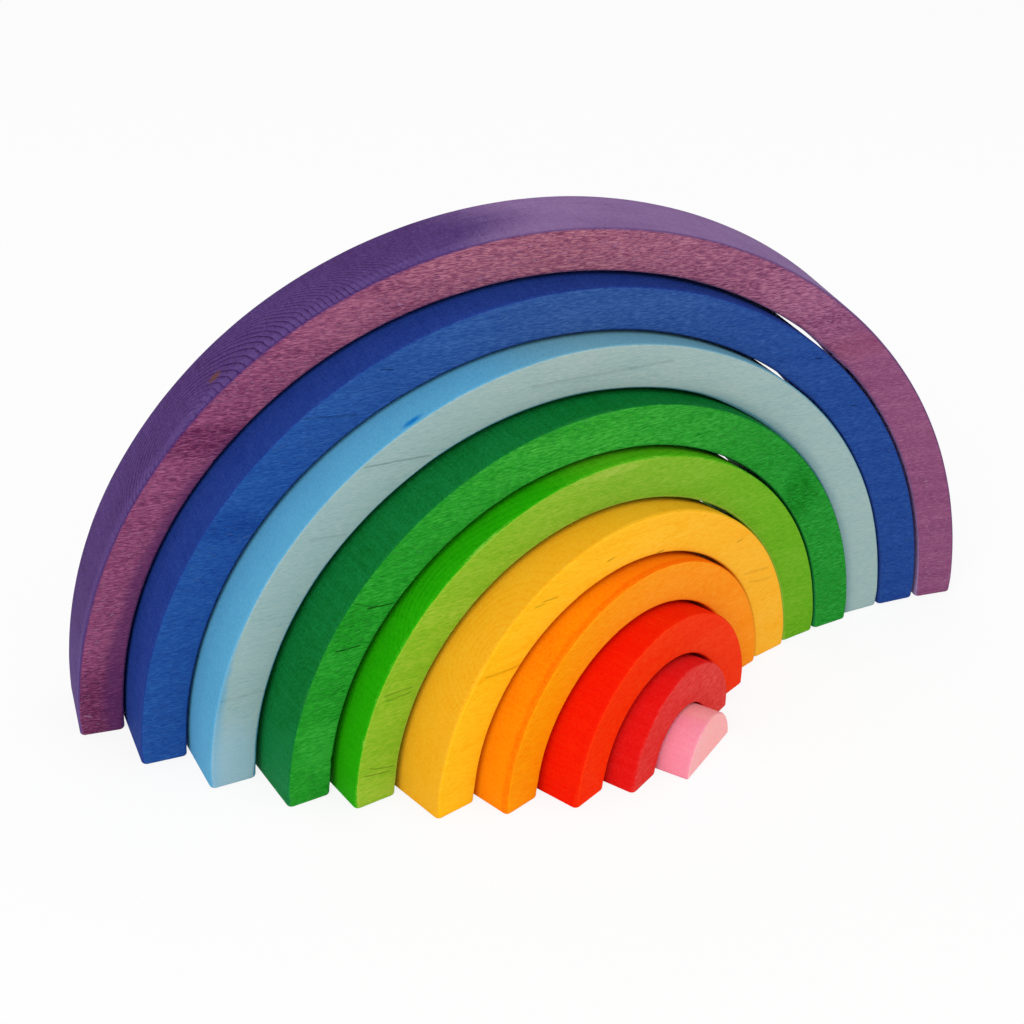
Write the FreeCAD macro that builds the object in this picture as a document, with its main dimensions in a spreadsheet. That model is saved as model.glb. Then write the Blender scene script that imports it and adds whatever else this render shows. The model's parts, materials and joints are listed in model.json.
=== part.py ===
"""Rainbow stacker: nine wooden half-ring arches and one half-round core, cut from one board.

The pieces stand on their sawn ends in the order of the rainbow. Each one is swung out of the piece
around it about an upright line near its right foot, which fans the left feet forward. Swung back
by the same angle, it nests flush inside that piece.

Lengths are in millimetres and angles in degrees. X runs along the face of the outermost arch, Y
from the front of the toy to its back and Z up. The origin is under the middle of the fanned toy,
on the floor.
"""
import FreeCAD
import Part
import Sketcher
import os

# Sizes that every piece shares: alias, value, meaning
SHARED_SIZES = [
    ("CoreRadius", 16.8, "radius of the pink core, from which the arches are laid out"),
    ("BandWidth", 16.4, "width that every arch is marked out to, across its face"),
    ("BoardDepth", 33.0, "thickness of the board, front face to back face"),
    ("CentreDrop", 0.5, "how far the common centre of the curves lies below the sawn ends"),
    ("EdgeRound", 1.0, "sanded rounding of every edge"),
]

# The pieces from the outside in: node name and the words that start its aliases
PIECES = [
    ("purple_arch", "Purple"),
    ("blue_arch", "Blue"),
    ("light_blue_arch", "LightBlue"),
    ("dark_green_arch", "DarkGreen"),
    ("light_green_arch", "LightGreen"),
    ("yellow_arch", "Yellow"),
    ("orange_arch", "Orange"),
    ("red_arch", "Red"),
    ("crimson_arch", "Crimson"),
    ("pink_core", "Pink"),
]

# How much wider, or with a minus narrower, than the marked width the hand saw left each arch
BAND_EXTRAS = {
    "Purple": -0.2,
    "Blue": 0.2,
    "LightBlue": 0.5,
    "DarkGreen": -0.1,
    "LightGreen": -0.1,
    "Yellow": 0.1,
    "Orange": -0.8,
    "Red": -0.4,
    "Crimson": -0.9,
}

# Gap left by the saw and the sanding between each inner piece and the arch around it
GAPS = {
    "Blue": 1.2,
    "LightBlue": 1.0,
    "DarkGreen": 1.5,
    "LightGreen": 1.6,
    "Yellow": 1.6,
    "Orange": 1.4,
    "Red": 1.5,
    "Crimson": 1.6,
    "Pink": 0.9,
}

# Pivot of each inner piece, to the right of the inner curve of the arch around it
PIVOTS_OUT = {
    "Blue": -4.5,
    "LightBlue": -3.6,
    "DarkGreen": 37.0,
    "LightGreen": 0.9,
    "Yellow": 10.1,
    "Orange": 11.8,
    "Red": 70.9,
    "Crimson": 41.8,
    "Pink": 122.4,
}

# The same pivot, behind the front face of the arch around it
PIVOTS_BACK = {
    "Blue": 5.6,
    "LightBlue": 10.0,
    "DarkGreen": 15.9,
    "LightGreen": 20.1,
    "Yellow": 13.3,
    "Orange": 12.9,
    "Red": 19.1,
    "Crimson": 17.1,
    "Pink": 16.2,
}

# Swing of each inner piece out of the arch around it, in degrees
SWING_ANGLE_DEG = {
    "Blue": 4.3,
    "LightBlue": 4.5,
    "DarkGreen": 4.3,
    "LightGreen": 3.3,
    "Yellow": 6.2,
    "Orange": 5.0,
    "Red": 4.7,
    "Crimson": 5.1,
    "Pink": 4.1,
}

# Points of a sketch element, in the order that a sketch numbers them
START, END, CENTRE = range(1, 4)

# The axes of every sketch, whose start point is the sketch's origin
HORIZONTAL, VERTICAL = range(-1, -3, -1)


def size_rows():
    """The driving sizes, and the radii that follow from them, from the core outwards."""
    rows = list(SHARED_SIZES)
    rows.append(("PinkOuter", "=CoreRadius", "outer radius"))
    inside = None
    for node, words in reversed(PIECES):
        if words in BAND_EXTRAS:
            inner = "=%sOuter + %sGap" % (inside, inside)
            rows.append((words + "Inner", inner, "inner radius"))
            rows.append((words + "Extra", BAND_EXTRAS[words], "width over the marked one"))
            outer = "=%sInner + BandWidth + %sExtra" % (words, words)
            rows.append((words + "Outer", outer, "outer radius"))
        if words in GAPS:
            rows.append((words + "Gap", GAPS[words], "gap to the arch around it once nested"))
            rows.append((words + "PivotOut", PIVOTS_OUT[words], "pivot, right of that arch's inner curve"))
            rows.append((words + "PivotBack", PIVOTS_BACK[words], "pivot, behind that arch's front face"))
            rows.append((words + "SwingAngle", SWING_ANGLE_DEG[words], "swing out of that arch, degrees"))
        inside = words
    return rows


def fill_sheet(doc):
    """Write each size with its alias and its meaning."""
    sheet = doc.addObject("Spreadsheet::Sheet", "Sizes")
    for row, (alias, value, meaning) in enumerate(size_rows(), start=1):
        sheet.set("A%d" % row, meaning)
        sheet.set("B%d" % row, str(value))
        sheet.setAlias("B%d" % row, alias)
    doc.recompute()
    return sheet


def start_sketch(body, words):
    """An empty sketch on the upright plane of a body that holds its front face."""
    front = next(plane for plane in body.Origin.OriginFeatures if plane.Role == "XZ_Plane")
    sketch = body.newObject("Sketcher::SketchObject", words + "Profile")
    sketch.AttachmentSupport = [(front, "")]
    sketch.MapMode = "FlatFace"
    return sketch


def bind(sketch, constraint, name, formula):
    """Add a constraint with a name and take its size from the sheet."""
    index = sketch.addConstraint(constraint)
    sketch.renameConstraint(index, name)
    sketch.setExpression("Constraints." + name, formula)


def draw_curve(sketch, sheet, alias):
    """The part of a circle above the floor line, about the centre that all the curves share."""
    radius = sheet.get(alias)
    middle = FreeCAD.Vector(0, -sheet.CentreDrop, 0)
    circle = Part.Circle(middle, FreeCAD.Vector(0, 0, 1), radius)
    right_foot = circle.parameter(FreeCAD.Vector(radius, 0, 0))
    left_foot = circle.parameter(FreeCAD.Vector(-radius, 0, 0))
    arc = sketch.addGeometry(Part.ArcOfCircle(circle, right_foot, left_foot), False)
    sketch.addConstraint(Sketcher.Constraint("PointOnObject", arc, START, HORIZONTAL))
    sketch.addConstraint(Sketcher.Constraint("PointOnObject", arc, END, HORIZONTAL))
    bind(sketch, Sketcher.Constraint("Radius", arc, radius), alias, "Sizes." + alias)
    return arc


def draw_foot(sketch, first, first_end, second, second_end):
    """A straight sawn end between two points of the curves."""
    start = sketch.getPoint(first, first_end)
    end = sketch.getPoint(second, second_end)
    line = sketch.addGeometry(Part.LineSegment(start, end), False)
    sketch.addConstraint(Sketcher.Constraint("Coincident", line, START, first, first_end))
    sketch.addConstraint(Sketcher.Constraint("Coincident", line, END, second, second_end))


def draw_profile(body, sheet, words):
    """The face of one piece: a half ring, or a half disc for the core."""
    sketch = start_sketch(body, words)
    outer = draw_curve(sketch, sheet, words + "Outer")
    sketch.addConstraint(Sketcher.Constraint("PointOnObject", outer, CENTRE, VERTICAL))
    drop = Sketcher.Constraint("DistanceY", outer, CENTRE, HORIZONTAL, START, sheet.CentreDrop)
    bind(sketch, drop, "CentreDrop", "Sizes.CentreDrop")
    if words in BAND_EXTRAS:
        inner = draw_curve(sketch, sheet, words + "Inner")
        sketch.addConstraint(Sketcher.Constraint("Coincident", inner, CENTRE, outer, CENTRE))
        draw_foot(sketch, outer, END, inner, END)
        draw_foot(sketch, inner, START, outer, START)
    else:
        draw_foot(sketch, outer, END, outer, START)
    return sketch


def make_piece(doc, sheet, node, words):
    """Saw one piece from the board and sand its edges round."""
    body = doc.addObject("PartDesign::Body", node)
    body.Label = node
    sawn = body.newObject("PartDesign::Pad", words + "Sawn")
    sawn.Profile = draw_profile(body, sheet, words)
    sawn.Reversed = True
    sawn.setExpression("Length", "Sizes.BoardDepth")
    doc.recompute()
    sanded = body.newObject("PartDesign::Fillet", words + "Sanded")
    sanded.Base = (sawn, ["Edge%d" % number for number in range(1, len(sawn.Shape.Edges) + 1)])
    sanded.setExpression("Radius", "Sizes.EdgeRound")
    doc.recompute()
    return body


def seat_formula(around, around_words, words):
    """The placement of the arch around it, then a turn about the upright pivot."""
    still = "create(<<vector>>; 0; 0; 0)"
    upright = "create(<<vector>>; 0; 0; 1)"
    turn = "create(<<rotation>>; %s; Sizes.%sSwingAngle)" % (upright, words)
    out = "Sizes.%sInner + Sizes.%sPivotOut" % (around_words, words)
    pivot = "create(<<vector>>; %s; Sizes.%sPivotBack; 0)" % (out, words)
    return "%s.Placement * create(<<placement>>; %s; %s; %s)" % (around.Name, still, turn, pivot)


def make_rainbow(doc, sheet):
    """Every piece from the outside in, each seated from the one before."""
    bodies = []
    around_words = None
    for node, words in PIECES:
        body = make_piece(doc, sheet, node, words)
        if bodies:
            body.setExpression("Placement", seat_formula(bodies[-1], around_words, words))
        bodies.append(body)
        around_words = words
    doc.recompute()
    return bodies


def stand_on_origin(doc, bodies):
    """Move the outermost arch, and with it all the others, until the toy stands over the origin."""
    box = FreeCAD.BoundBox()
    for body in bodies:
        box.add(body.Shape.optimalBoundingBox(False))
    middle = box.Center
    bodies[0].Placement.Base = FreeCAD.Vector(-middle.x, -middle.y, -box.ZMin)
    doc.recompute()


def check(doc, bodies):
    """Stop if an object failed or a piece isn't one valid solid."""
    for item in doc.Objects:
        if "Invalid" in item.State or "Error" in item.State:
            raise RuntimeError("%s failed: %s" % (item.Name, item.State))
    for body in bodies:
        if body.Shape.isNull() or not body.Shape.isValid() or len(body.Shape.Solids) != 1:
            raise RuntimeError("%s isn't one valid solid" % body.Label)


def main():
    doc = FreeCAD.newDocument("RainbowStacker")
    sheet = fill_sheet(doc)
    bodies = make_rainbow(doc, sheet)
    stand_on_origin(doc, bodies)
    check(doc, bodies)
    os.makedirs("parts", exist_ok=True)
    for body in bodies:
        body.Shape.exportStep("parts/%s.step" % body.Label)
        print(body.Label, round(body.Shape.Volume), len(body.Shape.Faces))


main()
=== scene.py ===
"""Dress a wooden rainbow stacker: nine dyed arches and a core, fanned open on a pale floor.

Each piece is one block of wood, sawn from a board whose grain runs along the piece's own X axis,
sanded round at the edges and stained with a thin dye, which the end grain of the sawn curves drinks
more of than the flat faces. Lengths are in metres unless a name or comment says mm.
"""
import json
import math
import bmesh
import bpy
from bpy.props import EnumProperty, FloatProperty, FloatVectorProperty, IntProperty, PointerProperty
from bpy.types import Operator, Panel, PropertyGroup
from mathutils import Matrix, Vector, noise

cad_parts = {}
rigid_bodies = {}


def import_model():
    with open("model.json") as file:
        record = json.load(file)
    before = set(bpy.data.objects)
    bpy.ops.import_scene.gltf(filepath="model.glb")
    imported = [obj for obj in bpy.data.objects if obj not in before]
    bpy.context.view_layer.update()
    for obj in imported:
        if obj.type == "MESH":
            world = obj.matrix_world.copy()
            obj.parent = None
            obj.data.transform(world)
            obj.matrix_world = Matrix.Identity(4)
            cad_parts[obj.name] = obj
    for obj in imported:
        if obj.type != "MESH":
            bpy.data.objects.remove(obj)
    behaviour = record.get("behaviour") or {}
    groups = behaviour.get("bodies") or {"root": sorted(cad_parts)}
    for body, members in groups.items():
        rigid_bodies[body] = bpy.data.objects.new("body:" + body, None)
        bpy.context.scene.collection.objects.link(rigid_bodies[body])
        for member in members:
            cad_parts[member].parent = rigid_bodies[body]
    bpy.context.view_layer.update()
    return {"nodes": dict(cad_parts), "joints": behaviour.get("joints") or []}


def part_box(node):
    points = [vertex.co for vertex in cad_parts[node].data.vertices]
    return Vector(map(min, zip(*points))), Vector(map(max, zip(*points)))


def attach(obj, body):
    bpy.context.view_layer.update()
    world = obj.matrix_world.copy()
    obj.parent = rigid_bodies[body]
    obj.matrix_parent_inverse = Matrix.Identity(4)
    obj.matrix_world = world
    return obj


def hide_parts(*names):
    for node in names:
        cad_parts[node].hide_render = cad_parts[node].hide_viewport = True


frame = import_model()

bl_info = {
    "name": "Wooden rainbow stacker",
    "version": (2, 0, 0),
    "blender": (4, 5, 0),
    "location": "View3D > Sidebar > Rainbow",
    "description": "Cuts, sands and dyes the pieces of a wooden rainbow and lights them",
    "category": "Add Mesh",
}

# The pieces from the outside in
ARCHES = ("purple_arch", "blue_arch", "light_blue_arch", "dark_green_arch", "light_green_arch",
          "yellow_arch", "orange_arch", "red_arch", "crimson_arch")
CORE = "pink_core"

# Where each dye was read off a colour card, red, green and blue from 0 to 255:
# the flat face at the left, the top and the right, then the sawn curve at the left and the top.
# The top and right readings are partly the dye's own change and partly painted light: a paler,
# greyer sheen and a darker shade that fell on those parts, such as the pale top of the outermost
# arch's sawn curve, where it faces up.
DYE_PLACES = ("face_left", "face_top", "face_right", "side_left", "side_top")
DYE_AND_LIGHT_CARD = {
    "purple": ((137, 70, 108), (153, 90, 112), (136, 77, 116), (80, 53, 112), (133, 102, 150)),
    "blue": ((33, 78, 150), (46, 81, 144), (32, 67, 139), (31, 57, 133), (30, 54, 127)),
    "light_blue": ((149, 177, 178), (154, 176, 173), (150, 176, 175),
                   (86, 159, 197), (104, 156, 175)),
    "dark_green": ((33, 147, 38), (48, 157, 46), (31, 141, 43), (11, 109, 46), (7, 106, 42)),
    "light_green": ((133, 181, 39), (128, 176, 46), (102, 168, 29), (35, 159, 4), (76, 167, 18)),
    "yellow": ((248, 186, 24), (250, 187, 38), (247, 179, 44), (238, 168, 28), (234, 172, 30)),
    "orange": ((248, 150, 5), (249, 152, 26), (250, 147, 26), (245, 132, 3), (240, 124, 7)),
    "red": ((247, 48, 5), (244, 52, 10), (243, 54, 15), (232, 24, 1), (232, 33, 2)),
    "crimson": ((225, 51, 47), (223, 56, 51), (225, 63, 57), (217, 20, 17), (215, 28, 27)),
    "pink": ((252, 181, 183), (252, 178, 177), (252, 179, 178), (237, 139, 160), (238, 151, 156)),
}


def linear(red, green, blue):
    """A colour read off a colour card, 0 to 255, as the linear colour that a shader takes."""
    return tuple(share / 12.92 if share <= 0.04045 else ((share + 0.055) / 1.055) ** 2.4
                 for share in (red / 255, green / 255, blue / 255))


def length(name, description, default, most):
    """A size in metres that a user can change."""
    return FloatProperty(name=name, description=description, default=default, min=0.0, max=most,
                         precision=5, subtype="DISTANCE", unit="LENGTH")


def turn(name, description, degrees):
    """An angle that a user can change."""
    return FloatProperty(name=name, description=description, default=math.radians(degrees),
                         subtype="ANGLE", unit="ROTATION")


def amount(name, description, default, most=1.0):
    """A plain number that a user can change."""
    return FloatProperty(name=name, description=description, default=default, min=0.0, max=most)


class RainbowWork(PropertyGroup):
    """How the pieces are cut and sanded."""

    centre_drop: length(
        "Centre drop", "How far the curves' centre lies below the floor", 0.0005, 0.01)
    edge_round: length(
        "Edge rounding", "Least radius that sanding leaves on the edges", 0.001, 0.003)
    edge_uneven: amount("Uneven edges", "How much further the sanding goes in places", 0.35)
    foot_round: amount("Rounder feet", "How much rounder the edges are near the floor", 0.9, 2.0)
    saw_wander: length(
        "Saw wander", "How far the hand saw strayed into the wood", 0.00025, 0.002)
    saw_ripple: length(
        "Saw ripple", "Depth of the faint ridges across the sawn sides", 0.00006, 0.001)
    face_wave: length("Face waviness", "How unevenly the flat faces are sanded", 0.00012, 0.001)
    step: length("Mesh step", "Spacing of the mesh along an arch", 0.002, 0.01)


class RainbowDyesAndLight(PropertyGroup):
    """The colour of each piece, on its flat faces and on its sawn curves: its dye, and at the top
    and the right also painted sheen and shade.
    """


for colour_name, card in DYE_AND_LIGHT_CARD.items():
    for place_name, reading in zip(DYE_PLACES, card):
        words = (colour_name + " " + place_name).replace("_", " ")
        RainbowDyesAndLight.__annotations__[colour_name + "_" + place_name] = FloatVectorProperty(
            name=words.capitalize(), description="Dye on the " + words, subtype="COLOR", size=3,
            min=0.0, max=1.0, default=linear(*reading))


class RainbowStage(PropertyGroup):
    """The floor, the lights and the camera."""

    camera_place: FloatVectorProperty(
        name="Camera place", description="Where the camera stands", subtype="TRANSLATION",
        unit="LENGTH", default=(-0.1977, -0.5317, 0.4028))
    camera_heading: turn("Heading", "Turn of the camera to the right of +Y", 18.164)
    camera_tilt: turn("Tilt", "How far the camera looks down", 29.657)
    camera_roll: turn("Roll", "Lean of the camera about its own view line", 1.0235)
    camera_lens: amount("Lens", "Focal length in millimetres on a 36 mm sensor", 65.62, 200.0)
    sky_light: amount("Sky light", "Strength of the light from all round", 0.73, 5.0)
    key_light: amount(
        "Key light", "Power of the large soft lamp at the front left, in watts", 20.0, 500.0)
    fill_light: amount(
        "Fill light", "Power of the soft lamp at the front right, in watts", 5.0, 500.0)
    shadow: amount("Floor shadow", "How much of the toy's shadow shows on the white floor", 0.14)
    floor_size: length("Floor size", "Width of the floor", 12.0, 50.0)
    floor_rows: IntProperty(
        name="Floor rows", description="Rows of faces in the floor", default=12, min=2)


# The settings by the name that the scene keeps them under
GROUPS = {"rainbow_work": RainbowWork, "rainbow_dyes": RainbowDyesAndLight, "rainbow_stage": RainbowStage}


class Blank:
    """One piece as the packed model has it: its place, its two radii and its depth."""

    def __init__(self, node, place, drop):
        self.node = node
        self.place = place
        self.drop = drop
        back = place.inverted()
        corners = [back @ vertex.co for vertex in frame["nodes"][node].data.vertices]
        reach = [math.hypot(corner.x, corner.z + drop) for corner in corners]
        self.outer = max(reach)
        self.inner = min(reach)
        self.depth = max(corner.y for corner in corners)


def measure_blanks(drop):
    """Every piece, each found by its swing out of the one around it."""
    low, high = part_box(ARCHES[0])
    places = {ARCHES[0]: Matrix.Translation(((low.x + high.x) / 2, low.y, 0.0))}
    for joint in frame["joints"]:
        pivot = Matrix.Translation(joint["pos_m"])
        swing = Matrix.Rotation(math.radians(-joint["range_deg"][0]), 4, "Z")
        places[joint["child"]] = pivot @ swing @ pivot.inverted() @ places[joint["parent"]]
    return {node: Blank(node, place, drop) for node, place in places.items()}


def enter(name, data):
    """Bring an object into the scene."""
    item = bpy.data.objects.new(name, data)
    bpy.context.scene.collection.objects.link(item)
    return item


def ease(low, high, value):
    """0 below low, 1 above high, and a smooth rise between."""
    share = min(1.0, max(0.0, (value - low) / (high - low)))
    return share * share * (3 - 2 * share)


def wander(seed, x, y, z, size):
    """Smooth unevenness from 0 to 1 that changes over the given size."""
    shifted = Vector((x / size + seed, y / size - 2 * seed, z / size + 3 * seed))
    return 0.5 + 0.5 * noise.noise(shifted)


# Steps of the mesh round a sanded edge, and across each flat side of an arch
EDGE_STEPS = 5
BAND_STEPS = 8
DEPTH_STEPS = 14

# Fewest steps of the mesh over the top of an arch and of the core
ARCH_STEPS = 64
CORE_STEPS = 48

# Steps along the core's floor side, rings of faces on its flat faces and how far in the innermost
# of them lies, as a share of the radius
FLOOR_STEPS = 16
FACE_RINGS = 6
INNERMOST_RING = 0.38

# Height in metres below which the edges are sanded rounder, and the share of the inner radius below
# which the mesh runs level with the floor
FOOT_HEIGHT = 0.008
LEVEL_SHARE = 0.45

# Least sanded radius, as a share of the usual one
LEAST_ROUND = 0.2

# Sizes in metres of the unevenness of the edges, of the saw's path and ridges and of the faces
EDGE_SIZE = 0.045
PATH_SIZE = 0.07
RIDGE_SIZE = 0.006
FACE_SIZE = 0.012

# How little the saw's path and its ridges change through the board, next to along it
PATH_THROUGH = 0.25
RIDGE_THROUGH = 0.1

# On the small core: the sizes for the path and the faces, and what share of the saw's straying and
# of the wear of the edges at the floor there is
CORE_PATH_SIZE = 0.012
CORE_FACE_SIZE = 0.008
CORE_WANDER = 0.4
CORE_FOOT_WEAR = 0.6

# Seeds of the unevenness: the first arch's, the step to the next one's and the core's, then what
# the edges, the outer curve, the ridges and the faces add so that none follows another
FIRST_ARCH_SEED = 2.0
ARCH_SEED_STEP = 11.3
CORE_SEED = 4.0
CORNER_SEED = 7
OUTSIDE_SEED = 31
RIDGE_SEED = 5
FACE_SEED = 11

# How far behind the front face a chip reaches, in metres
CHIP_REACH = 0.002

# How much the large faces count, out of 100, in the shading of the edges
FACE_WEIGHT = 60

# Chips on the front of an arch's inner edge: how far round from the right foot in degrees, how
# long and how deep in mm
CHIPS = {
    "purple_arch": ((46.7, 2.6, 1.1), (139.0, 1.6, 0.4)),
    "dark_green_arch": ((172.0, 2.0, 0.7),),
}

# Where the hand saw left more wood than was marked: how far round from the right foot and over what
# spread in degrees, then how much on the outer and on the inner curve in mm
SWELLS = {
    "purple_arch": (47.0, 6.0, 0.0, 0.6),
    "blue_arch": (49.0, 5.0, 0.0, 0.35),
    "light_blue_arch": (50.0, 19.0, 0.0, 0.75),
    "dark_green_arch": (55.0, 20.0, 0.35, 0.0),
}


# What the carving stores at each point: how much it is on a sawn curve, on a sanded edge and on the
# front inner edge
LAYERS = ("side", "edge", "lip")


class Carver:
    """Collects the points and faces of one piece, with what each point is."""

    def __init__(self, blank):
        self.blank = blank
        self.mesh = bmesh.new()
        self.layers = [self.mesh.verts.layers.float.new(name) for name in LAYERS]
        self.in_wood = self.mesh.verts.layers.float_vector.new("in_wood")

    def point(self, place, *shares):
        """Add a point with its share of each layer."""
        vertex = self.mesh.verts.new(place)
        vertex[self.in_wood] = place
        for layer, share in zip(self.layers, shares):
            vertex[layer] = share
        return vertex

    def skin(self, loops):
        """Join closed loops of as many points with quads, and close the first and the last."""
        for first, second in zip(loops, loops[1:]):
            for index in range(len(first)):
                after = (index + 1) % len(first)
                self.mesh.faces.new((first[index], first[after], second[after], second[index]))
        for loop in (loops[0], loops[-1]):
            self.mesh.faces.new(loop)

    def finish(self, name):
        """Turn what was carved into an object that stands where the piece stands."""
        self.mesh.transform(self.blank.place)
        bmesh.ops.recalc_face_normals(self.mesh, faces=self.mesh.faces)
        data = bpy.data.meshes.new(name)
        self.mesh.to_mesh(data)
        self.mesh.free()
        data.shade_smooth()
        piece = enter(name, data)
        flat = piece.modifiers.new("Flat faces", "WEIGHTED_NORMAL")
        flat.keep_sharp = True
        flat.weight = FACE_WEIGHT
        return piece


def band_section(half_band, half_depth, radii):
    """Points round an arch's section, a rectangle with its own radius at each corner.

    They start at the front of the outer curve. Each is its place across and through, its shares of
    the layers and the outward direction.
    """
    corners = (
        (1, -1, radii[0], -90),
        (1, 1, radii[1], 0),
        (-1, 1, radii[2], 90),
        (-1, -1, radii[3], 180),
    )
    points = []
    for index, (across, through, radius, start) in enumerate(corners):
        middle_across = across * (half_band - radius)
        middle_through = through * (half_depth - radius)
        for step in range(EDGE_STEPS + 1):
            angle = math.radians(start + 90 * step / EDGE_STEPS)
            out, back = math.cos(angle), math.sin(angle)
            edge = math.sin(math.pi * step / EDGE_STEPS)
            lip = edge if index == 3 else 0.0
            points.append((middle_across + radius * out, middle_through + radius * back,
                           abs(out), edge, lip, out, back))
        next_across, next_through, next_radius, _ = corners[(index + 1) % 4]
        if index % 2 == 0:
            begin = (across * half_band, middle_through)
            end = (across * half_band, next_through * (half_depth - next_radius))
            steps, side, direction = DEPTH_STEPS, 1.0, (across, 0)
        else:
            begin = (middle_across, through * half_depth)
            end = (next_across * (half_band - next_radius), through * half_depth)
            steps, side, direction = BAND_STEPS, 0.0, (0, through)
        for step in range(1, steps):
            share = step / steps
            points.append((begin[0] + (end[0] - begin[0]) * share,
                           begin[1] + (end[1] - begin[1]) * share,
                           side, 0.0, 0.0, *direction))
    return points


def swollen(node, angle, out):
    """How much more wood the saw left at a point."""
    degrees, spread, outside, inside = SWELLS.get(node, (0.0, 1.0, 0.0, 0.0))
    share = 1 - ease(0.25, 1.0, abs(math.degrees(angle) - degrees) / spread)
    return 0.001 * share * (outside if out > 0 else inside)


def chipped(node, angle, middle, through, out):
    """How much of the front inner edge is chipped away at a point."""
    gone = 0.0
    if out < 0 and through < CHIP_REACH:
        for degrees, long, deep in CHIPS.get(node, ()):
            away = abs(angle - math.radians(degrees)) * middle * 1000 / (0.5 * long)
            gone += 0.001 * deep * (1 - ease(0.3, 1.3, away)) * (1 - through / CHIP_REACH)
    return gone


def foot_to_foot(blank, work):
    """Where an arch's sections stand: how far round, and how far in the section is drawn."""
    middle = (blank.outer + blank.inner) / 2
    radius = work.edge_round
    foot = math.asin((radius + blank.drop) / middle)
    steps = max(ARCH_STEPS, round((math.pi - 2 * foot) * middle / work.step))
    stations = []
    for step in range(EDGE_STEPS):
        bend = math.pi / 2 * step / EDGE_STEPS
        height = radius * (1 - math.cos(bend))
        stations.append((math.asin((height + blank.drop) / middle), radius * (1 - math.sin(bend))))
    stations += [(foot + (math.pi - 2 * foot) * step / steps, 0.0) for step in range(steps + 1)]
    stations += [(math.pi - angle, inset) for angle, inset in reversed(stations[:EDGE_STEPS])]
    return stations


def sanded_radii(work, seed, way, middle, height, inset):
    """The radius of each corner of a section, rounder in places and near the floor."""
    radius = work.edge_round
    low = 1 - ease(0.0, FOOT_HEIGHT, height)
    radii = []
    for corner in range(4):
        uneven = wander(seed + CORNER_SEED * corner, *way, corner * middle, EDGE_SIZE)
        worn = 1 + work.edge_uneven * ease(0.3, 0.7, uneven) + work.foot_round * low
        radii.append(max(LEAST_ROUND * radius, radius * worn - inset))
    return radii


def carve_arch(blank, work, seed):
    """Sweep the section of an arch from one sawn foot over the top to the other."""
    carver = Carver(blank)
    middle = (blank.outer + blank.inner) / 2
    half_band = (blank.outer - blank.inner) / 2
    half_depth = blank.depth / 2
    loops = []
    for angle, inset in foot_to_foot(blank, work):
        way = (math.cos(angle) * middle, math.sin(angle) * middle)
        left = angle > math.pi / 2
        near = math.pi - angle if left else angle
        height = middle * math.sin(near) - blank.drop
        level = ease(0.0, LEVEL_SHARE * blank.inner, height)
        radii = sanded_radii(work, seed, way, middle, height, inset)
        loop = []
        for across, through, side, edge, lip, out, back in band_section(
                half_band - inset, half_depth - inset, radii):
            reach = middle + across
            through += half_depth
            path = wander(seed + OUTSIDE_SEED * (out > 0), *way, through * PATH_THROUGH, PATH_SIZE)
            ridges = wander(seed + RIDGE_SEED, *way, through * RIDGE_THROUGH, RIDGE_SIZE)
            bumps = wander(seed + FACE_SEED, way[0] + reach, way[1], through, FACE_SIZE)
            cut = work.saw_wander * path + work.saw_ripple * ridges
            reach -= out * (cut + chipped(blank.node, angle, middle, through, out))
            reach += out * swollen(blank.node, angle, out)
            through -= back * (work.face_wave * bumps)
            flat = math.asin(min(1.0, (height + blank.drop) / reach))
            bend = flat + (near - flat) * level
            x = reach * math.cos(bend) * (-1 if left else 1)
            z = reach * math.sin(bend) - blank.drop
            edge = max(edge, inset / work.edge_round)
            loop.append(carver.point((x, through, max(0.0, z)), side, edge, lip))
        loops.append(loop)
    carver.skin(loops)
    return carver.finish(blank.node.replace("_arch", "_wood"))


def core_outline(blank, inset, corner, arc_steps):
    """Points round the half disc, drawn in by inset: x, z, edge share, outward direction."""
    reach = blank.outer - inset - corner
    rise = inset + corner + blank.drop
    across = math.sqrt(reach * reach - rise * rise)
    start = math.atan2(rise, across)
    radius = blank.outer - inset
    points = []
    for step in range(arc_steps + 1):
        angle = start + (math.pi - 2 * start) * step / arc_steps
        out, up = math.cos(angle), math.sin(angle)
        points.append((radius * out, radius * up - blank.drop, 0.0, out, up))
    corners = []
    for step in range(1, EDGE_STEPS + 1):
        angle = start - (start + math.pi / 2) * step / EDGE_STEPS
        out, up = math.cos(angle), math.sin(angle)
        corners.append((across + corner * out, inset + corner + corner * up, out, up))
    points += [(-x, z, 1.0, -out, up) for x, z, out, up in corners]
    points += [(across * (2 * step / FLOOR_STEPS - 1), inset, 0.0, 0.0, -1.0)
               for step in range(1, FLOOR_STEPS)]
    points += [(x, z, 1.0, out, up) for x, z, out, up in reversed(corners)]
    return points


def core_layers(blank, work):
    """The core's outlines from front to back: how deep, how far drawn in and the edge share."""
    radius = work.edge_round
    innermost = INNERMOST_RING * blank.outer
    front = [(0.0, innermost + (radius - innermost) * ring / FACE_RINGS, 0.0)
             for ring in range(FACE_RINGS)]
    for step in range(EDGE_STEPS):
        bend = math.pi / 2 * step / EDGE_STEPS
        front.append((radius * (1 - math.cos(bend)), radius * (1 - math.sin(bend)), math.cos(bend)))
    body = [(radius + (blank.depth - 2 * radius) * step / DEPTH_STEPS, 0.0, 0.0)
            for step in range(DEPTH_STEPS + 1)]
    back = [(blank.depth - through, inset, edge) for through, inset, edge in reversed(front)]
    return front + body + back


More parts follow.
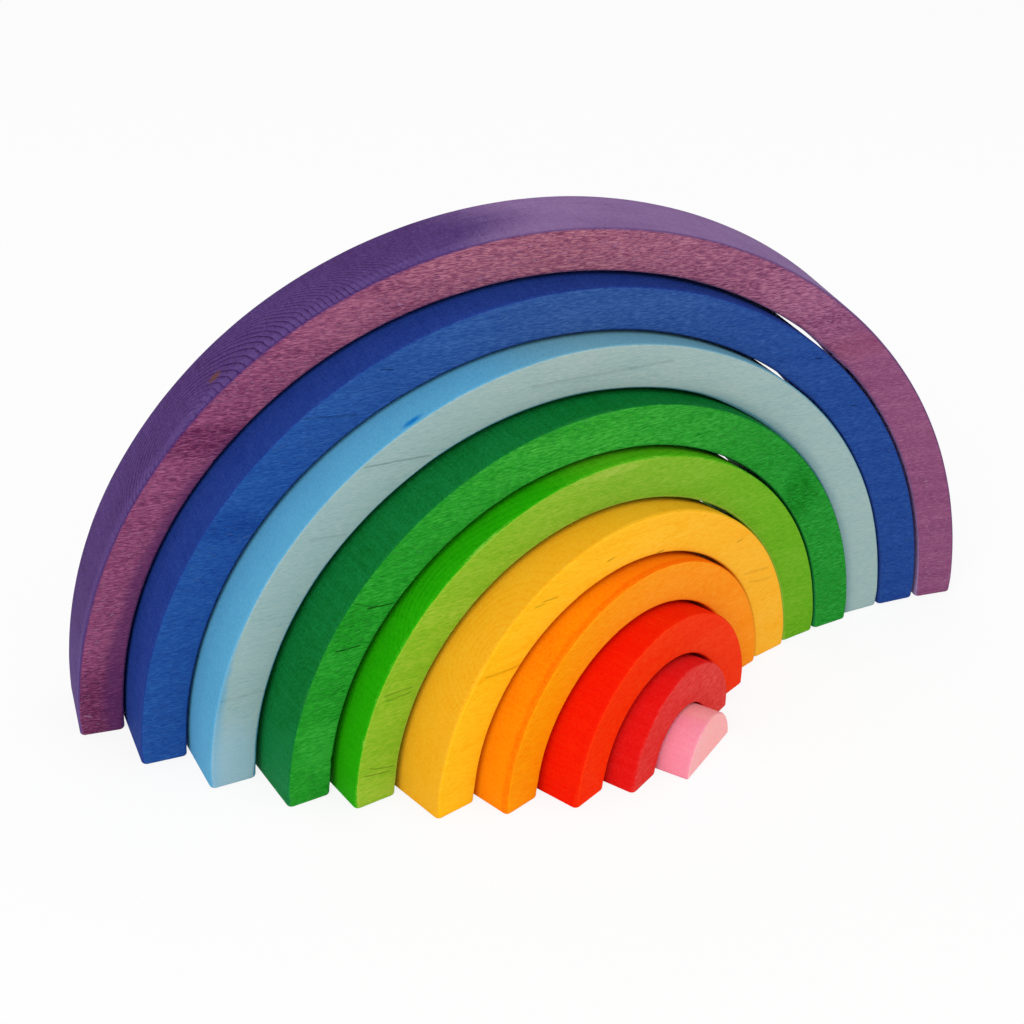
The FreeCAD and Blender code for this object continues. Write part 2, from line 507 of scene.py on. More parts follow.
def carve_core(blank, work, seed):
    """Stack outlines of the half disc from its front face to its back face."""
    carver = Carver(blank)
    radius = work.edge_round
    arc_steps = max(CORE_STEPS, round(math.pi * blank.outer / (work.step / 2)))
    loops = []
    for through, inset, edge in core_layers(blank, work):
        corner = max(LEAST_ROUND * radius, radius - inset)
        flat_face = inset >= radius
        side = 0.0 if flat_face else 1.0 - inset / radius
        loop = []
        for x, z, foot_edge, out, up in core_outline(blank, inset, corner, arc_steps):
            if flat_face:
                sand = work.face_wave * wander(seed + FACE_SEED, x, z, 0.0, CORE_FACE_SIZE)
                place = (x, through + (-sand if through > blank.depth / 2 else sand), z)
            else:
                cut = CORE_WANDER * work.saw_wander * wander(seed, x, z, through, CORE_PATH_SIZE)
                place = (x - out * cut, through, max(inset, z - up * cut) if z > radius else z)
            loop.append(carver.point(place, side, max(edge, foot_edge * CORE_FOOT_WEAR), 0.0))
        loops.append(loop)
    carver.skin(loops)
    return carver.finish(blank.node.replace("_core", "_wood"))


class Link:
    """A shader socket that can be used in arithmetic; each sum adds a Math node."""

    def __init__(self, recipe, socket):
        self.recipe = recipe
        self.socket = socket

    def math(self, operation, first, second):
        return self.recipe.add("ShaderNodeMath", {"operation": operation}, {0: first, 1: second})

    def __add__(self, other):
        return self.math("ADD", self, other)

    __radd__ = __add__

    def __sub__(self, other):
        return self.math("SUBTRACT", self, other)

    def __rsub__(self, other):
        return self.math("SUBTRACT", other, self)

    def __mul__(self, other):
        return self.math("MULTIPLY", self, other)

    __rmul__ = __mul__

    def __truediv__(self, other):
        return self.math("DIVIDE", self, other)

    def __pow__(self, other):
        return self.math("POWER", self, other)

    def __abs__(self):
        return self.math("ABSOLUTE", self, 0.0)

    def larger(self, other):
        return self.math("MAXIMUM", self, other)

    def fraction(self):
        return self.math("FRACT", self, 0.0)


class Recipe:
    """The nodes of one material or of the world."""

    def __init__(self, owner):
        owner.use_nodes = True
        self.nodes = owner.node_tree.nodes
        self.links = owner.node_tree.links
        self.nodes.clear()

    def place(self, kind, settings, sockets):
        """Add a node: its settings first, then a value or a link for each socket."""
        node = self.nodes.new(kind)
        for name, value in settings.items():
            if name == "stops":
                elements = node.color_ramp.elements
                elements.remove(elements[-1])
                elements[0].position = value[0][0]
                for position, _ in value[1:]:
                    elements.new(position)
                for element, (_, colour) in zip(elements, value):
                    element.color = colour
            else:
                setattr(node, name, value)
        for key, value in sockets.items():
            if isinstance(value, Link):
                self.links.new(value.socket, node.inputs[key])
            else:
                node.inputs[key].default_value = value
        return node

    def add(self, kind, settings, sockets, output=0):
        """Add a node and hand back one of its outputs."""
        return Link(self, self.place(kind, settings, sockets).outputs[output])

    def carved(self, name, output="Fac"):
        """What the carving stored at each point."""
        return self.add("ShaderNodeAttribute", {"attribute_name": name}, {}, output)

    def stretch(self, vector, scales):
        """Scale a place differently along and across the grain."""
        return self.add("ShaderNodeVectorMath", {"operation": "MULTIPLY"}, {0: vector, 1: scales})

    def speckle(self, vector, scales, detail=2.0, roughness=0.5, distortion=0.0):
        """Cloudy unevenness about 0, mostly within -0.5 and 0.5, with so many clouds to the mm."""
        cloud = self.add("ShaderNodeTexNoise", {"noise_dimensions": "3D"}, {
            "Vector": self.stretch(vector, scales), "Scale": 1.0, "Detail": detail,
            "Roughness": roughness, "Distortion": distortion})
        return (cloud - 0.5) * 2.0

    def rise(self, value, low, high):
        """0 below low, 1 above high, and a smooth rise between."""
        return self.add("ShaderNodeMapRange", {"interpolation_type": "SMOOTHSTEP"}, {
            "Value": value, "From Min": low, "From Max": high})

    def fall(self, value, low, high):
        """1 below low, 0 above high, and a smooth fall between."""
        return 1 - self.rise(value, low, high)

    def window(self, value, low, full, fading, gone):
        """0 below low, 1 from full to fading, 0 above gone, and smooth between."""
        return self.rise(value, low, full) * self.fall(value, fading, gone)

    def blend(self, share, first, second, way="MIX"):
        """Mix two colours."""
        settings = {"data_type": "RGBA", "blend_type": way, "clamp_factor": True}
        return self.add("ShaderNodeMix", settings, {0: share, 6: first, 7: second}, 2)

    def near(self, vector, middle, reach):
        """How far a place is from a middle, as a share of the reach along each axis."""
        shifted = self.add(
            "ShaderNodeVectorMath", {"operation": "SUBTRACT"}, {0: vector, 1: middle})
        scaled = self.stretch(shifted, tuple(1 / part for part in reach))
        return self.add("ShaderNodeVectorMath", {"operation": "LENGTH"}, {0: scaled}, 1)


def opaque(colour):
    """A colour as a shader socket takes it."""
    return tuple(colour) + (1.0,)


def least(floor, share):
    """A share from 0 to 1, raised so that it starts at the floor."""
    return floor + (1 - floor) * share


class Wood:
    """How the wood and the dye of one piece look, where it differs from the values here."""

    # How much the dye varies in short strokes along the grain, in long streaks and in blotches
    fibre = 0.25
    streak = 0.15
    cloud = 0.3

    # Small light dashes, small dark ones, and thin curved lines of the grain on a flat face
    fleck = 0.0
    pore = 0.1
    contour = 0.0

    # Growth rings on the sawn curves, and in mm how far behind the face and above the floor their
    # heart is, their gap, how far they reach and how far out they begin to crowd, if they do
    rings = 0.1
    heart = (0.0, 60.0)
    ring_gap = 2.0
    ring_reach = 30.0
    crowd = 0.0

    # Fine lines that the blade left across those curves, and a band along their front edge: its
    # width in mm and how much darker or, with a minus, paler it is
    saw = 0.15
    strip = (3.0, 0.0)

    # Pale edges, partly sanded wear and partly a painted highlight where the rounded edges catch
    # the light, most on the front inner edge, side dye on the front inner edge and on the front
    # outer one, and how many mm of it bled onto the face near the floor
    wear = 0.2
    lip = 0.0
    brim = 0.0
    bleed = 0.0

    # How much paler a curve is near the floor, a painted sheen where it is seen nearly edge-on,
    # and how far the grain stands out
    foot = 0.2
    relief = 0.3

    def __init__(self, **looks):
        unknown = set(looks) - set(vars(Wood))
        if unknown:
            raise TypeError("unknown looks: %s" % unknown)
        vars(self).update(looks)


WOODS = {
    "purple_arch": Wood(fibre=0.72, streak=0.3, cloud=0.35, fleck=1.4, pore=0.2, rings=1.75,
                        heart=(0.5, 115.5), ring_reach=80.0, crowd=26.0, saw=0.3,
                        strip=(6.0, -0.4), wear=0.1, brim=0.55, foot=0.75, relief=1.0),
    "blue_arch": Wood(fibre=0.36, streak=0.2, fleck=0.6, pore=0.2, rings=0.15, heart=(0.0, 133.0),
                      saw=0.25, wear=0.05, brim=0.2, relief=0.6),
    "light_blue_arch": Wood(fibre=0.16, streak=0.1, cloud=0.2, pore=0.05, contour=0.16, rings=0.0,
                            saw=0.06, wear=0.0, lip=0.5, brim=0.08, bleed=4.0, foot=0.3),
    "dark_green_arch": Wood(fibre=0.5, streak=0.25, fleck=0.6, pore=0.3, rings=0.3,
                            heart=(0.0, 35.0), ring_gap=1.7, saw=0.45, wear=0.15, brim=0.2,
                            foot=0.65, relief=1.0),
    "light_green_arch": Wood(fibre=0.24, streak=0.22, fleck=0.1, contour=0.1, rings=0.7,
                             heart=(-11.8, 78.6), ring_gap=2.2, saw=0.3, wear=0.7, relief=0.5),
    "yellow_arch": Wood(fibre=0.26, streak=0.25, contour=0.3, rings=0.4, heart=(-1.0, 58.3),
                        saw=0.1, wear=0.3),
    "orange_arch": Wood(fibre=0.26, streak=0.2, rings=0.0, saw=0.25, strip=(2.8, 0.5)),
    "red_arch": Wood(streak=0.2, pore=0.15, rings=0.0, saw=0.5, relief=0.35),
    "crimson_arch": Wood(fibre=0.4, streak=0.25, cloud=0.25, fleck=0.15, pore=0.2, rings=0.0,
                         saw=0.5, wear=0.35, relief=0.5),
    "pink_core": Wood(streak=0.2, cloud=0.2, fleck=0.05, pore=0.05, rings=0.0, saw=0.3, wear=0.45),
}

# Fine cracks and scratches on the front faces, each from one end to the other, in mm from the
# piece's middle and above the floor, and how dark it is
CRACKS = {
    "blue_arch": ((-94.5, 125.2, -74.3, 123.2, 0.35), (-83.0, 123.9, -75.5, 123.3, 0.35),
                  (-67.0, 138.2, -61.5, 137.6, 0.6), (99.0, 115.9, 103.0, 115.2, 0.7),
                  (116.5, 93.6, 121.0, 93.1, 0.7)),
    "light_blue_arch": ((-80.8, 112.6, -55.7, 111.9, 0.36), (-135.0, 35.3, -116.5, 35.8, 0.14),
                        (-19.5, 129.6, 37.5, 128.6, 0.16), (-101.0, 90.0, -86.0, 88.9, 0.15)),
    "dark_green_arch": ((-90.3, 70.7, -79.2, 70.0, 0.9), (-102.4, 57.7, -92.1, 57.5, 0.9),
                        (-95.3, 74.6, -85.9, 69.7, 0.4), (-100.4, 41.4, -98.2, 41.1, 0.8)),
    "light_green_arch": ((-98.0, 15.1, -87.4, 12.4, 0.5), (-100.4, 13.2, -88.7, 10.8, 0.5),
                         (-91.9, 42.8, -79.5, 42.1, 0.4), (-91.2, 40.5, -80.3, 40.4, 0.3)),
    "yellow_arch": ((-41.2, 69.6, -33.2, 68.8, 0.4), (-65.9, 49.7, -49.4, 48.2, 0.25),
                    (-25.3, 64.9, -19.5, 66.6, 0.4), (-44.7, 68.6, -38.9, 68.3, 0.3),
                    (-12.2, 74.0, -7.6, 74.7, 0.4), (53.0, 57.6, 57.4, 58.2, 0.5),
                    (58.5, 42.2, 73.0, 39.8, 0.16), (61.5, 37.2, 75.0, 34.8, 0.14),
                    (11.6, 68.9, 16.5, 68.6, 0.5)),
}

# Places on the front faces where the dye is darker or, with a minus, paler: the middle and the
# reach along and up in mm, and by how much
PATCHES = {
    "purple_arch": ((-122.0, 112.0, 27.0, 7.0, 0.6), (-163.0, 8.0, 24.0, 22.0, 0.7),
                    (-32.0, 163.0, 32.0, 5.0, -0.25), (-72.0, 150.0, 20.0, 8.0, -0.25),
                    (93.0, 138.0, 22.0, 8.0, -0.25)),
    "blue_arch": ((-122.0, 90.0, 14.0, 6.0, 0.3), (20.0, 146.0, 35.0, 6.0, -0.08)),
    "dark_green_arch": ((-106.0, 20.0, 10.0, 14.0, -0.3), (91.0, 66.0, 9.0, 12.0, 0.5),
                        (-97.0, 66.0, 9.0, 9.0, 0.25)),
    "light_green_arch": ((0.0, 101.0, 14.0, 2.0, -0.35), (-96.0, 6.0, 14.0, 9.0, -0.3)),
    "yellow_arch": ((10.0, 74.0, 30.0, 5.0, -0.2),),
}

# Spots, such as a knot or a stain in the wood, or a pale patch of painted light: the middle and
# the reach in mm, the colour card's reading, how strongly it shows and whether it keeps to the sawn
# curve (1) or to the face (0)
SPOTS = {
    "purple_arch": (((-116.5, 11.0, 129.8), (3.6, 2.4, 3.4), (104, 66, 60), 1.0, 1),
                    ((119.0, 0.0, 116.5), (17.0, 9.0, 6.0), (140, 68, 84), 0.25, 0)),
    "light_blue_arch": (((-61.5, 2.2, 124.6), (5.0, 1.7, 3.0), (20, 118, 186), 1.0, 1),
                        # The light blue arch's second spot, at its left foot, is partly a bluish
                        # stain and partly painted light that lifts the shade near the floor
                        ((-132.0, 0.0, 6.0), (14.0, 9.0, 26.0), (150, 188, 208), 0.65, 0)),
}

# Dye that pooled on the face along the inner edge: the colour card's reading, how strongly it
# shows, how far it reaches in mm where it starts and ends, and where those lie along the piece
POOLS = {
    "purple_arch": ((86, 44, 94), 0.62, (7.5, -1.0), (-172.0, -104.0)),
    "light_blue_arch": ((118, 152, 160), 0.6, (-1.0, 2.4), (20.0, 85.0)),
}


# Unevenness of the wood: how many clouds to the mm along, through and up the piece, and then their
# detail, roughness and distortion
SPECKLES = {
    "fibre": ((0.3, 1.3, 1.45), 2.0, 0.6, 0.5),
    "fine": ((0.36, 2.1, 2.2), 1.0, 0.6, 0.6),
    "speck": ((1.1, 1.2, 1.1), 1.0, 0.6),
    "streak": ((0.011, 0.3, 0.26), 2.0, 0.5),
    "bend": ((0.05, 0.14, 0.1), 1.0),
    "saw": ((0.8, 0.07, 0.8), 1.0, 0.6),
}

# How many of the widest clouds there are to the mm on an arch of a metre's radius
CLOUD_SCALES = (0.0084, 0.021, 0.021)

# How far along the unevenness one piece's wood lies from the next one's, in mm
GRAIN_SHIFT = 52.7

# Where the three readings of the faces' dye lie, from the left foot at 0 to the right one at 1
FACE_DYE_SHARES = (0.16, 0.5, 0.86)

# How much the rings crowd together, for each square mm beyond their crowd
RING_CROWDING = 0.02

# Least dye of a colour's channel, so that no root of it is 0
LEAST_DYE = 0.0006

# How dark a crack is, how shiny the thin dye, and the height in metres of the strongest grain
CRACK_DARK = (0.12, 0.12, 0.12)
SHINE = 0.02
GRAIN_HEIGHT = 0.0006


class Grain(Recipe):
    """The recipe of a piece's dyed wood, with what the wood is like at each point as sockets.

    where is in mm in the piece's own frame, and along, deep and up are its parts. side, edge and
    lip are what the carving stored. moved is a place in the unevenness that no other piece shares.
    soak is 1 on a sawn curve, which drinks more dye, and face is 1 elsewhere. share runs from 0 at
    the left foot to 1 at the right one, and top is 1 where a curve has the colour of its top, which
    is its dye and painted light.
    """

    def __init__(self, material, blank):
        super().__init__(material)
        node = blank.node
        self.where = self.stretch(self.carved("in_wood", "Vector"), (1000.0, 1000.0, 1000.0))
        parts = self.place("ShaderNodeSeparateXYZ", {}, {0: self.where})
        self.along, self.deep, self.up = (Link(self, socket) for socket in parts.outputs)
        self.side, self.edge, self.lip = (self.carved(name) for name in LAYERS)
        shift = (GRAIN_SHIFT * (ARCHES + (CORE,)).index(node), 0, 0)
        self.moved = self.add(
            "ShaderNodeVectorMath", {"operation": "ADD"}, {0: self.where, 1: shift})
        for name, values in SPECKLES.items():
            setattr(self, name, self.speckle(self.moved, *values))
        scales = tuple(part / blank.outer ** 0.5 for part in CLOUD_SCALES)
        self.cloud = self.speckle(self.moved, scales, 3.0, 0.55)
        self.patchy = self.rise(self.cloud, -0.25, 0.3)

        # The sawn curve begins where the sanded edge has turned most of the way
        turned = self.side + self.fibre * 0.15 + self.cloud * 0.15 + self.lip * WOODS[node].lip
        self.soak = self.rise(turned, 0.4, 0.75)
        self.face = 1 - self.soak
        self.share = 0.5 + self.along / (2000.0 * blank.outer)
        if node == ARCHES[0]:
            wedge = self.along + abs(self.deep - 16.0) * 0.8
            self.top = self.rise(wedge + self.cloud * 6.0 + self.streak * 8.0, -32.0, 8.0)
        else:
            self.top = self.rise(self.share + self.cloud * 0.06, 0.34, 0.52)

    def from_centre(self):
        """How far a point is from the middle of the piece's floor line, in mm."""
        return (self.along * self.along + self.up * self.up) ** 0.5


def start_dye(grain, card):
    """The dye without the wood's grain, from the left foot over the top to the right one, with the
    painted sheen and shade of the top and right readings.
    """
    stops = [(share, opaque(colour)) for share, colour in zip(FACE_DYE_SHARES, card)]
    # The top and right readings hold painted sheen and shade as well as the dye
    face_dye_and_light = grain.add("ShaderNodeValToRGB", {"stops": stops}, {0: grain.share})
    side_dye_and_light = grain.blend(grain.top, opaque(card[3]), opaque(card[4]))
    return grain.blend(grain.soak, face_dye_and_light, side_dye_and_light)


def ring_lines(grain, wood):
    """Growth rings round the heart of the tree, each dark where the summer's growth ended."""
    heart_deep, heart_up = wood.heart
    off, climb = grain.deep - heart_deep, grain.up - heart_up
    away = (off * off + climb * climb) ** 0.5
    waver = grain.bend * 0.5 + grain.fibre * 0.08 + grain.cloud * 1.6
    count = (away + waver) / wood.ring_gap
    clear = grain.fall(away, 0.6 * wood.ring_reach, 1.3 * wood.ring_reach)
    if wood.crowd:
        tight = (away - wood.crowd).larger(0.0)
        count = count + tight * tight * RING_CROWDING
        clear = clear * least(0.5, grain.rise(away, 5.0, 20.0))
    share = count.fraction()
    late = grain.window(share, 0.1, 0.8, 0.86, 1.0)
    line = grain.window(share, 0.66, 0.84, 0.86, 0.98)
    faint = least(0.55, grain.rise(grain.streak + grain.bend * 0.5, -0.3, 0.25))
    return (late * 0.25 + line * 0.8 - 0.2) * clear * faint, line * clear * faint


def contour_lines(grain):
    """Thin curved lines of the grain on a flat face, in patches."""
    flow = grain.speckle(grain.moved, (0.006, 0.3, 0.075), 0.5) * 9.0 + grain.bend * 0.3
    lines = grain.window((flow + 20.0).fraction(), 0.62, 0.84, 0.86, 0.99)
    return (lines * grain.patchy - 0.12) * grain.face


def dye_depth(grain, node):
    """How much darker or, with a minus, paler than at the start the colour is, from the wood and
    the dye and from a painted sheen near the floor, and the ring lines.
    """
    wood = WOODS[node]
    ring, line = ring_lines(grain, wood)
    strokes = grain.fibre * (wood.fibre * 0.8) * least(0.45, grain.face)
    strokes = strokes + grain.fine * (wood.fibre * 3.6) * grain.face
    rough = grain.speck * (0.5 + 0.6 * wood.fibre) + grain.fine * wood.fibre + grain.saw * wood.saw
    if node == ARCHES[0]:
        # The outermost arch has its rings at the left, a smoother top and a smoother right side
        clear = grain.fall(grain.along + grain.cloud * 10.0, -78.0, -38.0)
        clear = clear * grain.rise(grain.up, 74.0, 96.0)
        ring, line = ring * clear, line * clear
        rough = rough * (1 - 0.65 * grain.top)
        strokes = strokes * (1 - 0.5 * grain.rise(grain.along - grain.up * 0.2, 84.0, 104.0))
    streaks = grain.streak * (wood.streak * 1.4) * least(0.4, grain.face)
    deeper = strokes + rough * grain.soak + streaks + grain.cloud * wood.cloud
    deeper = deeper + ring * grain.soak * wood.rings
    if wood.contour:
        deeper = deeper + contour_lines(grain) * wood.contour
    for x, z, wide, tall, change in PATCHES.get(node, ()):
        off = grain.near(grain.where, (x, 0.0, z), (wide, 1000.0, tall))
        off = off + grain.fibre * 0.25 + grain.streak * 0.3
        deeper = deeper + grain.fall(off, 0.45, 1.25) * grain.face * change
    width, change = wood.strip
    if change:
        off = grain.deep + grain.streak * 1.2
        strip = grain.soak * grain.fall(off, width * 0.8, width * 1.2)
        if change < 0:
            strip = strip * (1 - grain.top)
        deeper = deeper + strip * change
    # Paler sawn curves near the floor: a painted sheen where the curve is seen nearly edge-on
    return deeper - grain.fall(grain.up, 2.0, 45.0) * grain.soak * wood.foot, line


def add_dashes(grain, wood, colour, base, dark):
    """Light flecks where the rays of the wood lie flat, and dark pores."""
    dash = grain.fine * 0.7 + grain.fibre * 0.6
    if wood.fleck:
        fleck = grain.rise(dash, 0.18, 0.32) * least(0.2, grain.patchy) * least(0.2, grain.face)
        light = opaque(part ** 0.5 for part in base)
        colour = grain.blend(fleck * (wood.fleck * 0.45), colour, light)
    pore = grain.rise(dash * -1.0, 0.18, 0.34) * least(0.4, grain.patchy)
    return grain.blend(pore * wood.pore, colour, opaque(part ** 0.6 for part in dark), "MULTIPLY")


def add_edges(grain, blank, colour, base, rim):
    """Side dye that bled over or stayed on the front outer edge, and pale edges that are partly
    sanded wear and partly a painted highlight.
    """
    wood = WOODS[blank.node]
    if wood.bleed:
        reach = 0.6 + grain.fall(grain.up, 4.0, 80.0) * wood.bleed
        off = 1000.0 * blank.outer - grain.from_centre() + grain.streak * 1.2 + grain.fibre * 0.5
        bled = grain.fall(off / reach, 0.2, 1.3) * grain.fall(grain.share, 0.4, 0.6) * grain.face
        colour = grain.blend(bled * 0.75, colour, opaque(rim))
    if wood.brim:
        brim = grain.edge * (1 - grain.lip) * grain.fall(grain.deep, 1.2, 2.6)
        brim = brim * grain.rise(grain.up, 6.0, 20.0)
        colour = grain.blend(brim * wood.brim, colour, opaque(part ** 1.25 for part in rim))
    # Pale edges: partly sanded wear, partly a painted highlight of the rounded edges, strongest
    # along the front inner edge
    worn = grain.edge * grain.rise(grain.cloud + grain.fine * 0.6, 0.05, 0.35)
    worn = grain.lip * 0.7 + worn * 0.5
    pale_wood_and_highlight = opaque(min(1.0, 1.15 * part ** 0.6) for part in base)
    return grain.blend(worn * wood.wear, colour, pale_wood_and_highlight)


def add_marks(grain, blank, colour):
    """Spots in the wood, one of them partly painted light, and dye that pooled along the inner
    edge.
    """
    for middle, reach, reading, strength, on_curve in SPOTS.get(blank.node, ()):
        off = grain.near(grain.where, middle, reach) + grain.fibre * 0.3 + grain.streak * 0.2
        spot = grain.fall(off, 0.3, 1.2) * (grain.soak if on_curve else grain.face)
        colour = grain.blend(spot * strength, colour, opaque(linear(*reading)))
    if blank.node in POOLS:
        reading, strength, reaches, ends = POOLS[blank.node]
        reach = grain.add("ShaderNodeMapRange", {}, {
            "Value": grain.along, "From Min": ends[0], "From Max": ends[1],
            "To Min": reaches[0], "To Max": reaches[1]})
        off = grain.from_centre() - 1000.0 * blank.inner - reach
        off = off + grain.cloud * 3.0 + grain.fibre * 0.8
        pool = grain.fall(off, -2.0, 2.0) * grain.rise(reach, -0.8, 0.8) * grain.face
        colour = grain.blend(pool * strength, colour, opaque(linear(*reading)))
    return colour


def crack_lines(grain, node):
    """The fine cracks of a front face, which reach a little way into the wood."""
    front = grain.fall(grain.deep, 1.5, 3.0)
    quiver = grain.speckle(grain.moved, (0.12, 0.1, 0.1)) * 0.7
    cracks = None
    for x0, z0, x1, z1, strength in CRACKS[node]:
        slope = (z1 - z0) / (x1 - x0)
        window = grain.window(grain.along, x0, x0 + 1.0, x1 - 1.6, x1)
        off = abs(grain.up - grain.along * slope - (z0 - slope * x0) + quiver)
        crack = window * grain.fall(off, 0.05, 0.25 + 0.1 / strength) * front * strength
        cracks = crack if cracks is None else cracks.larger(crack)
    return cracks


def dye_wood(blank, dyes_and_light):
    """The stained wood of one piece."""
    node = blank.node
    wood = WOODS[node]
    colour_name = node.rsplit("_", 1)[0]
    card = [getattr(dyes_and_light, colour_name + "_" + place) for place in DYE_PLACES]
    base = [max(LEAST_DYE, part) for part in card[0]]
    rim = [max(LEAST_DYE, part) for part in card[3]]
    between = [(a * b) ** 0.5 for a, b in zip(base, rim)]
    dark = [part ** 0.45 for part in between]
    pale = [part ** -0.22 for part in between]
    material = bpy.data.materials.new(colour_name + "_dyed_wood")
    grain = Grain(material, blank)
    deeper, line = dye_depth(grain, node)
    colour = start_dye(grain, card)
    colour = grain.blend(deeper, colour, opaque(dark), "MULTIPLY")
    colour = grain.blend(deeper * -1.0, colour, opaque(pale), "MULTIPLY")
    colour = add_dashes(grain, wood, colour, base, dark)
    colour = add_edges(grain, blank, colour, base, rim)
    colour = add_marks(grain, blank, colour)
    relief = grain.saw * wood.saw + grain.speck * 0.2 - line * wood.rings * 0.5
    relief = grain.fibre * 0.8 + grain.fine * 0.6 + relief * grain.soak
    if node in CRACKS:
        cracks = crack_lines(grain, node)
        colour = grain.blend(cracks, colour, opaque(CRACK_DARK), "MULTIPLY")
        relief = relief - cracks * 1.5
    bump = grain.add("ShaderNodeBump", {}, {
        "Strength": 0.5 * wood.relief, "Distance": GRAIN_HEIGHT, "Height": relief})
    surface = grain.add("ShaderNodeBsdfPrincipled", {}, {
        "Base Color": colour, "Roughness": 0.62 + grain.cloud * 0.12 - grain.edge * 0.05,
        "Normal": bump, "Specular IOR Level": SHINE})
    grain.place("ShaderNodeOutputMaterial", {}, {"Surface": surface})
    return material


def dress(piece, blank, dyes_and_light):
    """Give a carved piece its wood and hang it on its body in place of the plain solid."""
    piece.data.materials.append(dye_wood(blank, dyes_and_light))
    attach(piece, blank.node)
    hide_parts(blank.node)
    blank.node.rsplit("_", 1)[0] + "_dye"


class RAINBOW_OT_arch(Operator):
    """Carve one of the nine arches and stain it"""

    bl_idname = "rainbow.arch"
    bl_label = "Carve an arch"

    node: EnumProperty(
        name="Arch", description="Which arch to carve", default=ARCHES[0],
        items=[(name, name.replace("_", " ").capitalize(), "") for name in ARCHES])

    def execute(self, context):
        work = context.scene.rainbow_work
        blank = measure_blanks(work.centre_drop)[self.node]
        seed = ARCH_SEED_STEP * ARCHES.index(self.node) + FIRST_ARCH_SEED
        dress(carve_arch(blank, work, seed), blank, context.scene.rainbow_dyes)
        return {"FINISHED"}


class RAINBOW_OT_core(Operator):
    """Carve the half-round core and stain it"""

    bl_idname = "rainbow.core"
    bl_label = "Carve the core"

    def execute(self, context):
        work = context.scene.rainbow_work
        blank = measure_blanks(work.centre_drop)[CORE]
        dress(carve_core(blank, work, CORE_SEED), blank, context.scene.rainbow_dyes)
        return {"FINISHED"}


# White paint and light, and the floor's own pale colour
WHITE = (1.0, 1.0, 1.0, 1.0)
PALE = (0.9, 0.9, 0.9, 1.0)

# The two lamps' places and width and the point that they face, in metres
KEY_PLACE = (-1.1, -1.3, 1.4)
FILL_PLACE = (1.3, -1.1, 1.2)
LAMP_SIZE = 1.4
LAMP_AIM = (0.0, 0.0, 0.06)


def seen_rays(recipe):
    """1 for what the camera sees, also by way of gloss or glass, and 0 for light on the toy."""
    rays = recipe.place("ShaderNodeLightPath", {}, {})
    camera, gloss, glass = (Link(recipe, rays.outputs[name])
                            for name in ("Is Camera Ray", "Is Glossy Ray", "Is Transmission Ray"))
    return camera.larger(gloss).larger(glass)


def make_floor(stage):
    """A white floor that keeps a soft shadow of the toy."""
    mesh = bmesh.new()
    bmesh.ops.create_grid(mesh, x_segments=stage.floor_rows, y_segments=stage.floor_rows,
                          size=stage.floor_size / 2)
    data = bpy.data.meshes.new("floor")
    mesh.to_mesh(data)
    mesh.free()
    floor = enter("floor", data)
    material = bpy.data.materials.new("pale_floor")
    recipe = Recipe(material)
    matt = recipe.add("ShaderNodeBsdfDiffuse", {}, {"Color": PALE})
    white = recipe.add("ShaderNodeEmission", {}, {"Color": WHITE, "Strength": 1.0})
    share = seen_rays(recipe) * (1 - stage.shadow)
    mixed = recipe.add("ShaderNodeMixShader", {}, {0: share, 1: matt, 2: white})
    recipe.place("ShaderNodeOutputMaterial", {}, {"Surface": mixed})
    data.materials.append(material)


def make_world(stage):
    """Even light from all round, and white where the camera looks past the floor."""
    world = bpy.data.worlds.new("soft_room")
    recipe = Recipe(world)
    light = recipe.add("ShaderNodeBackground", {}, {"Color": WHITE, "Strength": stage.sky_light})
    white = recipe.add("ShaderNodeBackground", {}, {"Color": WHITE, "Strength": 1.0})
    mixed = recipe.add("ShaderNodeMixShader", {}, {0: seen_rays(recipe), 1: light, 2: white})
    recipe.place("ShaderNodeOutputWorld", {}, {"Surface": mixed})
    bpy.context.scene.world = world


def make_lamp(name, place, power):
    """A large square lamp that faces the toy."""
    data = bpy.data.lights.new(name, "AREA")
    data.shape = "SQUARE"
    data.size = LAMP_SIZE
    data.energy = power
    lamp = enter(name, data)
    lamp.location = place
    lamp.rotation_mode = "QUATERNION"
    lamp.rotation_quaternion = (Vector(LAMP_AIM) - lamp.location).to_track_quat("-Z", "Y")


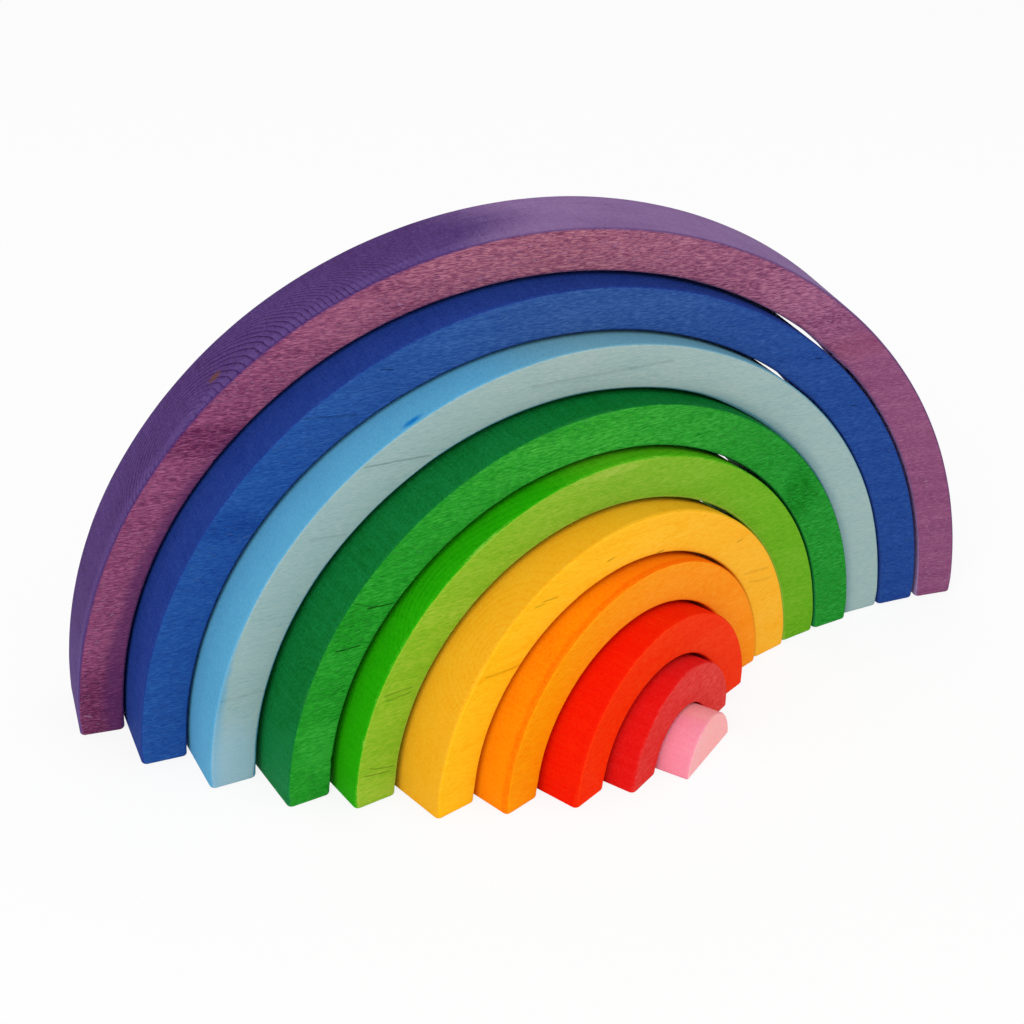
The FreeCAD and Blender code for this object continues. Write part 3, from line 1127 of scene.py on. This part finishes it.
def make_camera(stage):
    """A camera at the photograph's viewing angle."""
    data = bpy.data.cameras.new("camera")
    data.sensor_width = 36.0
    data.lens = stage.camera_lens
    camera = enter("camera", data)
    aim = Matrix.Rotation(-stage.camera_heading, 4, "Z")
    aim @= Matrix.Rotation(math.pi / 2 - stage.camera_tilt, 4, "X")
    aim @= Matrix.Rotation(stage.camera_roll, 4, "Z")
    camera.matrix_world = Matrix.Translation(stage.camera_place) @ aim
    bpy.context.scene.camera = camera


class RAINBOW_OT_stage(Operator):
    """Lay the floor, hang the lights and set the camera"""

    bl_idname = "rainbow.stage"
    bl_label = "Set the stage"

    def execute(self, context):
        stage = context.scene.rainbow_stage
        make_floor(stage)
        make_world(stage)
        make_lamp("key_light", KEY_PLACE, stage.key_light)
        make_lamp("fill_light", FILL_PLACE, stage.fill_light)
        make_camera(stage)
        context.scene.view_settings.view_transform = "Standard"
        return {"FINISHED"}


class RAINBOW_PT_panel(Panel):
    """Lists what can be made and changed"""

    bl_idname = "RAINBOW_PT_panel"
    bl_label = "Wooden rainbow"
    bl_space_type = "VIEW_3D"
    bl_region_type = "UI"
    bl_category = "Rainbow"

    def draw(self, context):
        layout = self.layout
        layout.operator("rainbow.stage")
        for node in ARCHES:
            layout.operator("rainbow.arch", text=node.replace("_", " ").capitalize()).node = node
        layout.operator("rainbow.core")
        for name in GROUPS:
            group = getattr(context.scene, name)
            box = layout.box()
            for key in type(group).__annotations__:
                box.prop(group, key)


CLASSES = (*GROUPS.values(), RAINBOW_OT_arch, RAINBOW_OT_core, RAINBOW_OT_stage, RAINBOW_PT_panel)


def register():
    for item in CLASSES:
        bpy.utils.register_class(item)
    for name, group in GROUPS.items():
        setattr(bpy.types.Scene, name, PointerProperty(type=group))


def unregister():
    for name in GROUPS:
        delattr(bpy.types.Scene, name)
    for item in reversed(CLASSES):
        bpy.utils.unregister_class(item)


def main():
    register()
    bpy.ops.rainbow.stage()
    for node in ARCHES:
        bpy.ops.rainbow.arch(node=node)
    bpy.ops.rainbow.core()


if __name__ == "__main__":
    main()
